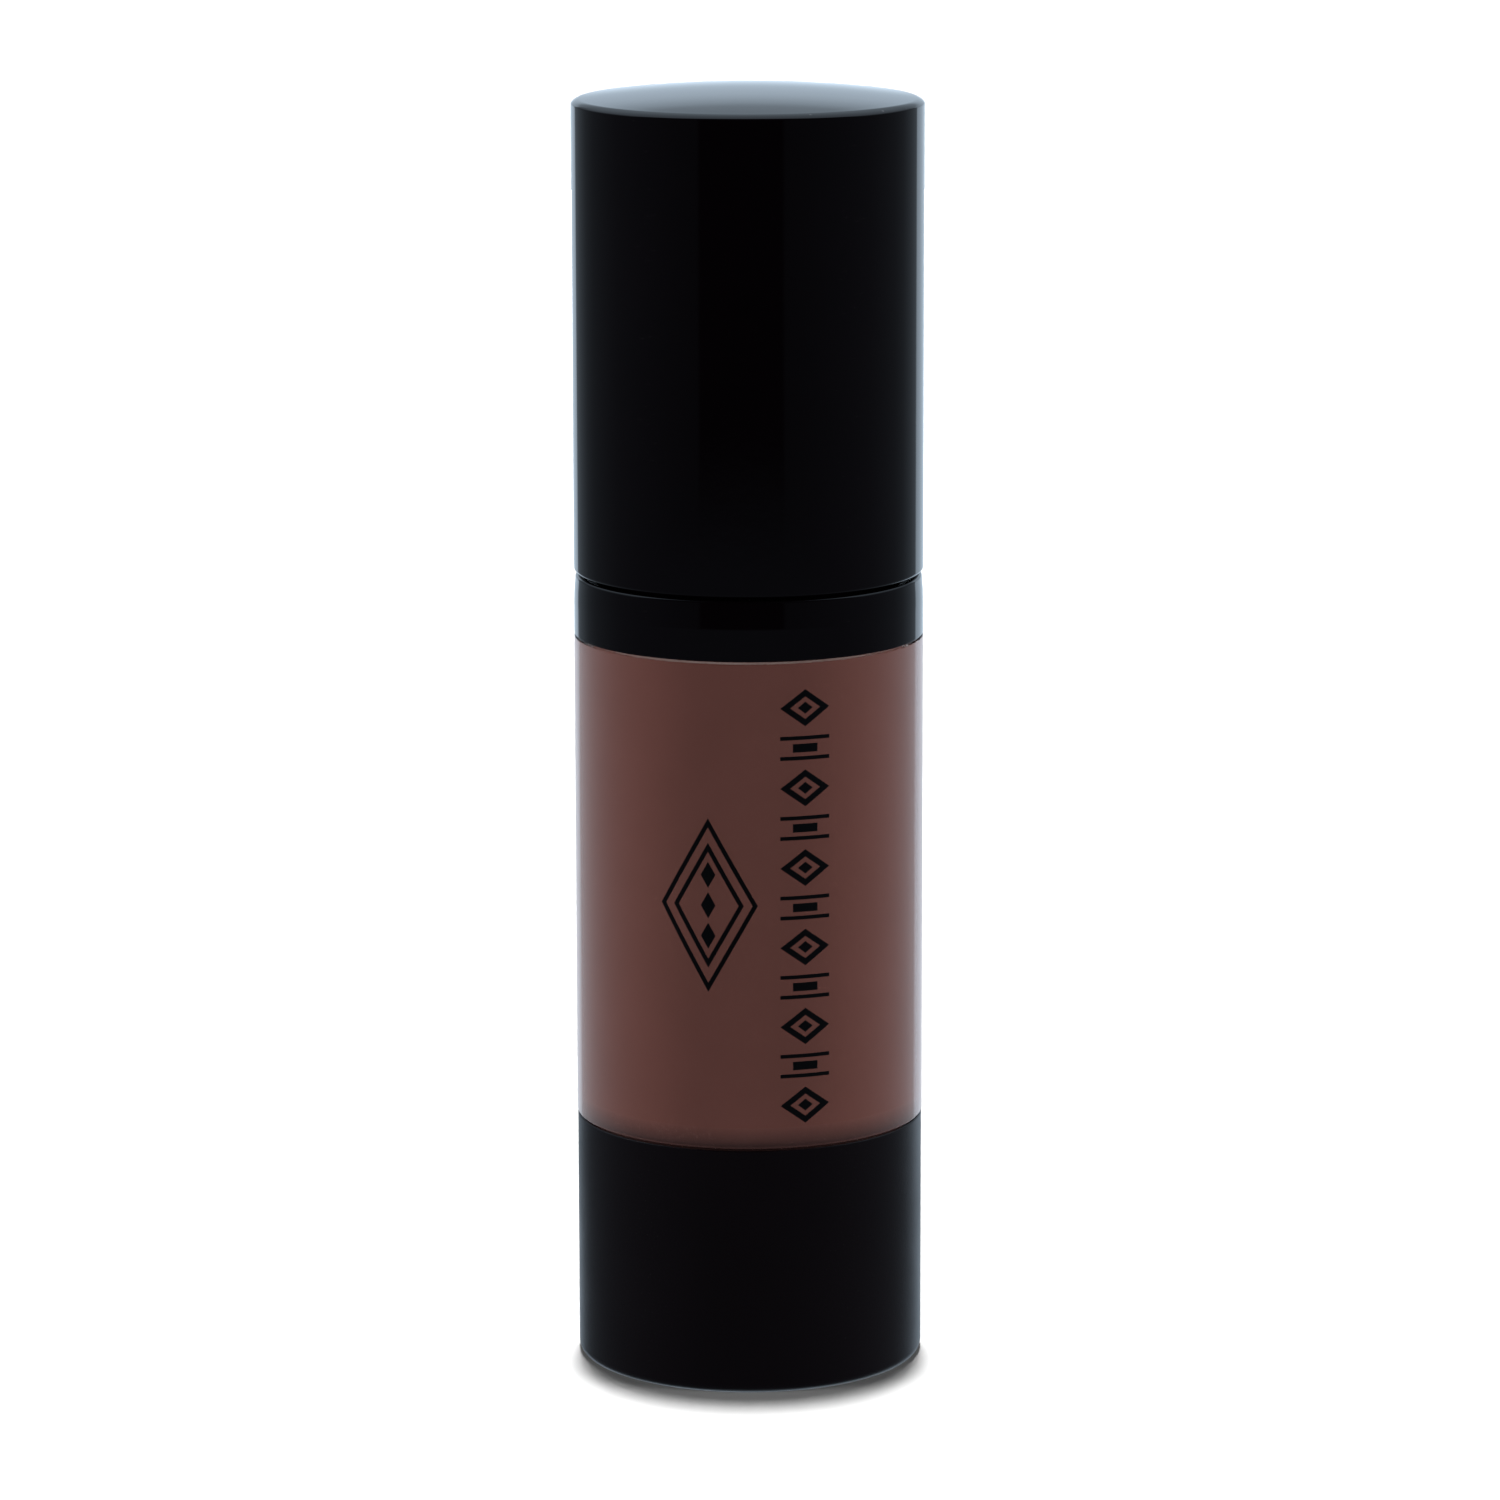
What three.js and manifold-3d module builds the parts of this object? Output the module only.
// A 30 ml airless pump bottle for liquid foundation: a clear straight tube between a black base and
// a black collar, closed by a tall black cap. A follower piston rises under the product as the pump
// draws it off, so there is no dip tube.
//
// Millimetres, +Z up. The origin is the middle of the face that the bottle stands on, and the pump's
// spout points along -Y. Every turned piece is a section of corners [radius, height, rounding],
// listed anticlockwise: outwards along its underside, up its outside and back down its inside.

import * as THREE from 'three';
import { mergeVertices } from 'three/addons/utils/BufferGeometryUtils.js';
import Module from 'manifold-3d';

const wasm = await Module();
wasm.setup();

// ---------------------------------------------------------------- driving dimensions

const bodyRadius = 16.5; // clear tube, collar and cap share one outer diameter of 33
const baseRadius = 16.46;
const baseTop = 23.7;
const tubeTop = 70.0; // where the clear outside ends and the collar begins
const collarTop = 75.9;
const capBottom = 76.2;
const capTop = 121.7;
const seam = 0.2; // gap that shows between the stacked outer pieces
const fit = 0.1; // gap left between pieces that touch

const boreRadius = 14.5; // the cylinder that the follower seals against
const skirtRadius = 15.5; // tube inside the base
const neckRadius = 15.4; // tube inside the collar
const neckTop = 73.6;
const followerTop = 25.6;
const closureTop = 75.2;
const upstandRadius = 14.0; // ring on the collar that the cap grips
const upstandTop = 84.0;

const headRadius = 10.2; // pump head
const headTop = 107.0;
const spoutHeight = 100.0;
const spoutReach = 13.4;
const barrelRadius = 5.0; // inside of the pump housing
const housingRadius = 6.0;
const housingBottom = 56.0;
const housingFloor = 61.3;
const stemRadius = 2.6;
const stemBore = 1.4;
const springRadius = 4.6; // to the middle of the wire
const wireRadius = 0.42;
const ballRadius = 1.6;
const inletRadius = 1.2;
const seatHeight = 57.8;

const wideSteps = 32; // facets round the casings
const pumpSteps = 20; // facets round the pump's own pieces
const roundingSteps = 2;
const domeSteps = 5;

// ---------------------------------------------------------------- materials

const finish = (color, roughness, metalness = 0, opacity = 1) => new THREE.MeshStandardMaterial({
  color, roughness, metalness, opacity, transparent: opacity < 1,
});
const glossBlack = finish(0x0a0a0c, 0.08);
const satinBlack = finish(0x0c0b0d, 0.38);
const clearPlastic = finish(0xf2eef0, 0.04, 0, 0.25);
const foundation = finish(0x573530, 0.45);
const naturalPlastic = finish(0xe4e2dc, 0.42);
const sealPlastic = finish(0xd8d8d6, 0.5);
const darkSeal = finish(0x3a3436, 0.5);
const springSteel = finish(0xb9bcc0, 0.25, 1);
const glassBead = finish(0xdfe6e8, 0.03, 0, 0.5);

// ---------------------------------------------------------------- shaping helpers

// The corners of a section with every rounding worked out as an arc.
function roundedSection(corners, closed) {
  const points = [];
  corners.forEach(([r, z, rounding = 0], i) => {
    const corner = new THREE.Vector2(r, z);
    const isEnd = !closed && (i === 0 || i === corners.length - 1);
    if (!rounding || isEnd) {
      points.push(corner);
      return;
    }
    const before = corners.at(i - 1);
    const after = corners[(i + 1) % corners.length];
    const back = new THREE.Vector2(before[0], before[1]).sub(corner).normalize();
    const on = new THREE.Vector2(after[0], after[1]).sub(corner).normalize();
    const half = Math.acos(THREE.MathUtils.clamp(back.dot(on), -1, 1)) / 2;
    const centre = back.clone().add(on).normalize().multiplyScalar(rounding / Math.sin(half)).add(corner);
    const reach = rounding / Math.tan(half);
    const from = back.clone().multiplyScalar(reach).add(corner).sub(centre);
    const sweep = (2 * half - Math.PI) * Math.sign(from.cross(back));
    for (let k = 0; k <= roundingSteps; k++) {
      points.push(from.clone().rotateAround(new THREE.Vector2(), (sweep * k) / roundingSteps).add(centre));
    }
  });
  if (closed) points.push(points[0].clone());
  return points;
}

// A piece turned about Z. A section with a bore closes on itself, and any other ends on the axis.
function turned(corners, steps = wideSteps) {
  const onAxis = corners[0][0] === 0;
  const section = roundedSection(corners, !onAxis);
  return new THREE.LatheGeometry(section, steps).rotateX(Math.PI / 2);
}

// Heights of a shallow bowl or dome, from its rim to its middle, as section corners.
function curvedFace(rimRadius, rimHeight, middleHeight, steps = domeSteps) {
  const corners = [];
  for (let k = 0; k <= steps; k++) {
    const share = 1 - k / steps;
    corners.push([rimRadius * share, middleHeight + (rimHeight - middleHeight) * share ** 2]);
  }
  return corners;
}

function solidOf(geometry) {
  const bare = geometry.clone();
  bare.deleteAttribute('normal');
  bare.deleteAttribute('uv');
  const merged = mergeVertices(bare, 1e-4);
  return new wasm.Manifold(new wasm.Mesh({
    numProp: 3,
    vertProperties: merged.attributes.position.array,
    triVerts: new Uint32Array(merged.index.array),
  }));
}

function geometryOf(solid) {
  const { vertProperties, triVerts } = solid.getMesh();
  const geometry = new THREE.BufferGeometry();
  geometry.setAttribute('position', new THREE.BufferAttribute(vertProperties, 3));
  geometry.setIndex(new THREE.BufferAttribute(triVerts, 1));
  geometry.computeVertexNormals();
  return geometry;
}

// A rod along -Y at the spout's height, from one distance off the axis to another.
function rodAlongSpout(radius, from, to, steps) {
  return new THREE.CylinderGeometry(radius, radius, to - from, steps)
    .translate(0, -(from + to) / 2, 0)
    .translate(0, 0, spoutHeight);
}

function piece(name, geometry, material) {
  const mesh = new THREE.Mesh(geometry, material);
  mesh.name = name;
  return mesh;
}

// ---------------------------------------------------------------- bottle

// The tube clips into the base and the collar with one shallow bead and groove each.
const clip = { depth: 0.22, height: 0.9, baseAt: 19.5, collarAt: 71.2 };

function baseCup() {
  const footInside = 13.2;
  const recess = 0.8;
  const floor = 2.0;
  const vent = 1.0;
  const inside = skirtRadius + fit;
  return turned([
    [vent, recess], [footInside, recess], [footInside, 0], [baseRadius, 0, 0.9], [baseRadius, baseTop, 0.15],
    [inside, baseTop],
    [inside, clip.baseAt + clip.height], [inside - clip.depth, clip.baseAt + clip.height - 0.2],
    [inside - clip.depth, clip.baseAt + 0.2], [inside, clip.baseAt],
    [inside, floor, 0.4], [vent, floor],
  ]);
}

// A clip groove in a wall's outside, a little longer and deeper than the bead it takes.
function clipGroove(radius, from) {
  return [
    [radius, from - fit], [radius - clip.depth, from + 0.2 - fit],
    [radius - clip.depth, from + clip.height - 0.2 + fit], [radius, from + clip.height + fit],
  ];
}

function bottleBody() {
  const skirtBottom = 2.3;
  return turned([
    [boreRadius, skirtBottom], [skirtRadius, skirtBottom],
    ...clipGroove(skirtRadius, clip.baseAt),
    [skirtRadius, baseTop + seam], [bodyRadius, baseTop + seam, 0.45], [bodyRadius, tubeTop, 0.25],
    [neckRadius, tubeTop],
    ...clipGroove(neckRadius, clip.collarAt),
    [neckRadius, neckTop], [boreRadius, neckTop],
  ]);
}

// Holds the follower at its lowest place and lets air in under it through a vent.
const plugTop = 11.8;
function bottomPlug() {
  const vent = 1.2;
  const outside = boreRadius - fit;
  return turned([
    [vent, 2.5], [outside, 2.5], [outside, plugTop],
    [outside - 1.3, plugTop], [outside - 1.3, 3.7], [vent, 3.7],
  ]);
}

// The follower's well is deep enough to swallow the pump housing at the end of its travel.
const well = { radius: 6.6, floor: 11.2, wall: 1.1 };
const followerFace = followerTop - 1.0;
function followerPiston() {
  const lip = boreRadius - fit;
  const waist = lip - 0.5;
  const inside = lip - 1.5;
  const underFace = followerFace - 1.3;
  const foot = plugTop + seam;
  return turned([
    [0, well.floor - 1.2], [well.radius + well.wall, well.floor - 1.2, 0.5],
    [well.radius + well.wall, underFace], [inside, underFace], [inside, foot],
    [lip - 0.4, foot], [lip, foot + 0.6], [lip, foot + 1.6], [waist, foot + 2.4],
    [waist, followerFace - 1.2], [lip, followerFace - 0.4], [lip, followerTop],
    [lip - 0.4, followerTop], [lip - 1.0, followerFace],
    [well.radius, followerFace, 0.3], [well.radius, well.floor], [0, well.floor],
  ]);
}

// The product fills the bore from the follower to the closure, all round the pump housing.
const plugSkirt = { inside: 13.2, bottom: 70.1, web: 74.1 };
function foundationFill() {
  const outside = boreRadius - fit;
  const wellRadius = well.radius - fit;
  const housing = housingRadius + fit;
  return turned([
    [0, well.floor + fit], [wellRadius, well.floor + fit], [wellRadius, followerFace + fit],
    [outside - 1.1, followerFace + fit], [outside - 0.5, followerTop + fit], [outside, followerTop + fit],
    [outside, plugSkirt.bottom - fit], [plugSkirt.inside - fit, plugSkirt.bottom - fit],
    [plugSkirt.inside - fit, plugSkirt.web - fit], [housing, plugSkirt.web - fit],
    [housing, housingBottom + 5.9], [3.1 + fit, housingBottom + 1.9],
    [3.1 + fit, housingBottom - fit], [0, housingBottom - fit],
  ]);
}

// ---------------------------------------------------------------- collar and closure

function neckGasket() {
  return turned([
    [boreRadius, neckTop + 0.05], [neckRadius, neckTop + 0.05],
    [neckRadius, plugSkirt.web - 0.05], [boreRadius, plugSkirt.web - 0.05],
  ]);
}

function closurePlug() {
  const hole = housingRadius + fit;
  const outside = boreRadius - fit;
  return turned([
    [hole, plugSkirt.web], [plugSkirt.inside, plugSkirt.web], [plugSkirt.inside, plugSkirt.bottom],
    [outside, plugSkirt.bottom], [outside, plugSkirt.web], [neckRadius, plugSkirt.web],
    [neckRadius, closureTop], [hole, closureTop],
  ]);
}

const capBead = { height: 81.5, depth: 0.2 };
function collarShell() {
  const inside = neckRadius + fit;
  const upstandInside = upstandRadius - 1.0;
  const headHole = headRadius + 0.4;
  const beadRadius = upstandRadius + capBead.depth;
  return turned([
    [inside, tubeTop + seam], [bodyRadius, tubeTop + seam, 0.1], [bodyRadius, collarTop - 2.0],
    [bodyRadius - 0.15, collarTop, 0.25],
    [upstandRadius, collarTop],
    [upstandRadius, capBead.height - 0.3], [beadRadius, capBead.height],
    [beadRadius, capBead.height + 0.6], [upstandRadius, capBead.height + 0.9],
    [upstandRadius, upstandTop, 0.4], [headHole, upstandTop, 0.2], [headHole, upstandTop - 1.0],
    [upstandInside, upstandTop - 1.0], [upstandInside, closureTop + fit], [inside, closureTop + fit],
    [inside, clip.collarAt + clip.height], [inside - clip.depth, clip.collarAt + clip.height - 0.2],
    [inside - clip.depth, clip.collarAt + 0.2], [inside, clip.collarAt],
  ]);
}

// ---------------------------------------------------------------- pump engine

const flange = { radius: 8.4, bottom: closureTop + fit, top: 76.1 };
const chamberRadius = 2.1; // room for the ball
function pumpHousing() {
  return turned([
    [inletRadius, housingBottom], [3.1, housingBottom], [3.1, housingBottom + 2.0],
    [housingRadius, housingBottom + 6.0], [housingRadius, flange.bottom], [flange.radius, flange.bottom],
    [flange.radius, flange.top], [barrelRadius, flange.top], [barrelRadius, housingFloor],
    [chamberRadius, housingFloor], [chamberRadius, seatHeight + 0.7], [inletRadius, seatHeight],
  ], pumpSteps);
}

// Keeps the ball in its chamber and lets the product past through four holes.
function ballCage() {
  const disc = new THREE.Shape().absarc(0, 0, barrelRadius - fit, 0, 2 * Math.PI);
  const holes = { count: 4, radius: 0.55, ring: 1.35 };
  for (let k = 0; k < holes.count; k++) {
    const angle = (2 * Math.PI * k) / holes.count;
    const hole = new THREE.Path();
    hole.absarc(holes.ring * Math.cos(angle), holes.ring * Math.sin(angle), holes.radius, 0, 2 * Math.PI);
    disc.holes.push(hole);
  }
  return new THREE.ExtrudeGeometry(disc, { depth: 0.85, bevelEnabled: false, curveSegments: 6 })
    .translate(0, 0, housingFloor + 0.05);
}

// The ball rests on the inlet's edge.
function inletBall() {
  const rest = seatHeight + Math.sqrt(ballRadius ** 2 - inletRadius ** 2) + 0.04;
  return new THREE.SphereGeometry(ballRadius, 16, 10).rotateX(Math.PI / 2).translate(0, 0, rest);
}

const stemBottom = 69.3;
const pistonTop = 73.5;
function pumpPiston() {
  const bore = stemRadius + 0.15;
  const sleeve = bore + 0.75;
  const lip = barrelRadius - fit;
  return turned([
    [bore, stemBottom], [sleeve - 0.1, stemBottom], [sleeve, stemBottom + 1.3],
    [lip - 0.6, stemBottom + 1.5],
    [lip - 0.1, stemBottom + 0.2], [lip, stemBottom + 0.9], [lip - 0.2, stemBottom + 2.1],
    [lip, stemBottom + 3.3], [lip - 0.1, stemBottom + 3.7], [lip - 0.5, stemBottom + 2.9],
    [sleeve, stemBottom + 2.6], [sleeve, pistonTop], [bore, pistonTop],
  ], pumpSteps);
}

// The stem pushes the piston down with its shoulder, 0.9 mm after the valve at its foot has opened.
const lostMotion = 0.9;
const stemTop = 98.0;
function pumpStem() {
  const shoulder = pistonTop + lostMotion;
  const tube = turned([
    [stemBore, stemBottom], [stemRadius, stemBottom], [stemRadius, shoulder], [stemRadius + 1.0, shoulder],
    [stemRadius + 1.0, shoulder + 1.2], [stemRadius, shoulder + 1.5], [stemRadius, stemTop, 0.3],
    [stemBore, stemTop],
  ], pumpSteps);
  const slot = new THREE.BoxGeometry(1.2, 4 * stemRadius, 2.2).translate(0, 0, stemBottom);
  return geometryOf(solidOf(tube).subtract(solidOf(slot)));
}

// A valve head under the piston, held in the stem's bore by a cross-shaped spigot.
function stemPlunger() {
  const top = stemBottom - fit;
  const head = turned([
    [0, top - 1.6], [3.0, top - 1.6], [3.9, top - 0.9], [3.9, top - 0.6], [2.9, top], [0, top],
  ], pumpSteps);
  const arm = stemBore - fit;
  const rib = () => new THREE.BoxGeometry(0.7, 2 * arm, 2.4).translate(0, 0, top + 1.0);
  const spigot = solidOf(rib().rotateZ(Math.PI / 4)).add(solidOf(rib().rotateZ(-Math.PI / 4)));
  return geometryOf(solidOf(head).add(spigot));
}

// Snaps over the housing's flange, guides the stem and seats the spring.
const ringTop = 77.2;
const guideRadius = 3.9;
function lockRing() {
  const hole = stemRadius + 0.2;
  const plug = barrelRadius - fit;
  const plateBottom = flange.top + fit;
  const skirt = flange.radius + fit;
  return turned([
    [hole, plateBottom], [plug - 0.8, plateBottom], [plug - 0.8, plateBottom - 1.6],
    [plug, plateBottom - 1.6], [plug, plateBottom],
    [skirt, plateBottom], [skirt, flange.bottom + seam], [skirt + 0.6, flange.bottom + seam],
    [skirt + 0.6, ringTop, 0.2], [guideRadius, ringTop], [guideRadius, ringTop + 1.8], [hole, ringTop + 1.8],
  ], pumpSteps);
}

// A compression spring whose end turns lie almost flat.
const springSeat = 91.0;
class SpringLine extends THREE.Curve {
  constructor(radius, bottom, top, turns) {
    super();
    Object.assign(this, { radius, bottom, top, turns });
  }

  getPoint(t, target = new THREE.Vector3()) {
    const flatShare = 0.12;
    const endRise = 0.065;
    const ramp = THREE.MathUtils.clamp((t - flatShare) / (1 - 2 * flatShare), 0, 1);
    const ends = (Math.min(t, flatShare) + Math.max(t - 1 + flatShare, 0)) / flatShare;
    const rise = endRise * ends + (1 - 2 * endRise) * ramp;
    const angle = 2 * Math.PI * this.turns * t;
    return target.set(
      this.radius * Math.cos(angle),
      this.radius * Math.sin(angle),
      this.bottom + (this.top - this.bottom) * rise,
    );
  }
}

function returnSpring() {
  const turns = 8;
  const gap = wireRadius + 0.1;
  const line = new SpringLine(springRadius, ringTop + gap, springSeat - gap, turns);
  const wire = new THREE.Shape().absarc(0, 0, wireRadius, 0, 2 * Math.PI);
  return new THREE.ExtrudeGeometry(wire, {
    steps: turns * 14, curveSegments: 3, bevelEnabled: false, extrudePath: line,
  });
}

// ---------------------------------------------------------------- pump head

const insert = { radius: 1.8, length: 2.4, lip: 0.4 };
function actuatorHead() {
  const socket = stemRadius + fit;
  const socketBottom = 84.5;
  const socketTop = stemTop + 0.2;
  const skirtBottom = 81.5;
  const skirtInside = headRadius - 0.8;
  const ceiling = headTop - 4.0;
  const bossRadius = springRadius + 1.0;
  const dishRim = headRadius - 1.4;
  const dishDepth = 1.4;
  const shell = turned([
    [0, socketTop], [socket, socketTop], [socket, socketBottom], [guideRadius, socketBottom],
    [guideRadius, springSeat], [bossRadius, springSeat], [bossRadius, ceiling], [skirtInside, ceiling, 0.8],
    [skirtInside, skirtBottom], [headRadius, skirtBottom], [headRadius, headTop, 0.9],
    ...curvedFace(dishRim, headTop, headTop - dishDepth),
  ]);
  const spout = rodAlongSpout(2.6, bossRadius - 1, spoutReach, pumpSteps);
  const channel = rodAlongSpout(1.1, -0.9, spoutReach + 1, 16);
  const pocket = rodAlongSpout(insert.radius + fit, spoutReach - insert.length - fit, spoutReach + 1, 16);
  const riser = new THREE.CylinderGeometry(stemBore, stemBore, 4, 16)
    .rotateX(Math.PI / 2)
    .translate(0, 0, spoutHeight - 2);
  const solid = solidOf(shell).add(solidOf(spout))
    .subtract(solidOf(channel)).subtract(solidOf(pocket)).subtract(solidOf(riser));
  return geometryOf(solid);
}

function nozzleInsert() {
  const orifice = 0.8;
  const back = spoutReach - insert.length;
  const face = spoutReach + fit;
  const section = [
    [orifice, back], [insert.radius, back, 0.2], [insert.radius, face], [insert.radius + 0.5, face],
    [insert.radius + 0.5, face + insert.lip, 0.15], [orifice, face + insert.lip],
  ];
  return turned(section, 16).rotateX(Math.PI / 2).translate(0, 0, spoutHeight);
}

// ---------------------------------------------------------------- cap

const linerOutside = 15.2;
const linerTop = 118.2;
function capShell() {
  const inside = linerOutside + fit;
  const wallTop = capTop - 1.48;
  const brow = { inset: 0.32, rise: 0.39, rounding: 1.25 };
  const crown = curvedFace(bodyRadius - 0.82, capTop - 1.03, capTop);
  return turned([
    [0, linerTop + fit + 1.1], [inside, linerTop + fit + 0.4, 0.6],
    [inside, capBottom], [bodyRadius, capBottom, 0.35],
    [bodyRadius, wallTop, 0.1], [bodyRadius - brow.inset, wallTop + brow.rise, brow.rounding], ...crown,
  ]);
}

function capLiner() {
  const inside = 14.4;
  const catchRadius = upstandRadius + capBead.depth + 0.08;
  const catchAt = capBead.height - 1.3;
  return turned([
    [0, linerTop - 0.9], [inside, linerTop - 0.9, 0.8],
    [inside, catchAt + 0.9], [catchRadius, catchAt + 0.6], [catchRadius, catchAt + 0.2], [inside, catchAt],
    [inside, capBottom + 0.5], [linerOutside, capBottom + 0.5], [linerOutside, linerTop, 0.8], [0, linerTop],
  ]);
}

// ---------------------------------------------------------------- assembly

const bottle = new THREE.Group();
bottle.add(
  piece('base_cup', baseCup(), satinBlack),
  piece('bottom_plug', bottomPlug(), naturalPlastic),
  piece('bottle_body', bottleBody(), clearPlastic),
  piece('foundation_fill', foundationFill(), foundation),
  piece('neck_gasket', neckGasket(), sealPlastic),
  piece('closure_plug', closurePlug(), naturalPlastic),
  piece('collar_shell', collarShell(), glossBlack),
  piece('pump_housing', pumpHousing(), naturalPlastic),
  piece('ball_cage', ballCage(), naturalPlastic),
  piece('lock_ring', lockRing(), naturalPlastic),
  piece('return_spring', returnSpring(), springSteel),
);

const follower = new THREE.Group();
follower.add(piece('follower_piston', followerPiston(), darkSeal));

const valve = new THREE.Group();
valve.add(piece('inlet_ball', inletBall(), glassBead));

const piston = new THREE.Group();
piston.add(piece('pump_piston', pumpPiston(), sealPlastic));

const stem = new THREE.Group();
stem.add(
  piece('pump_stem', pumpStem(), naturalPlastic),
  piece('stem_plunger', stemPlunger(), naturalPlastic),
);

const head = new THREE.Group();
head.add(
  piece('actuator_head', actuatorHead(), glossBlack),
  piece('nozzle_insert', nozzleInsert(), satinBlack),
);

const cap = new THREE.Group();
cap.add(
  piece('cap_shell', capShell(), glossBlack),
  piece('cap_liner', capLiner(), satinBlack),
);

const model = new THREE.Group();
model.add(bottle, follower, valve, piston, stem, head, cap);

export default model;
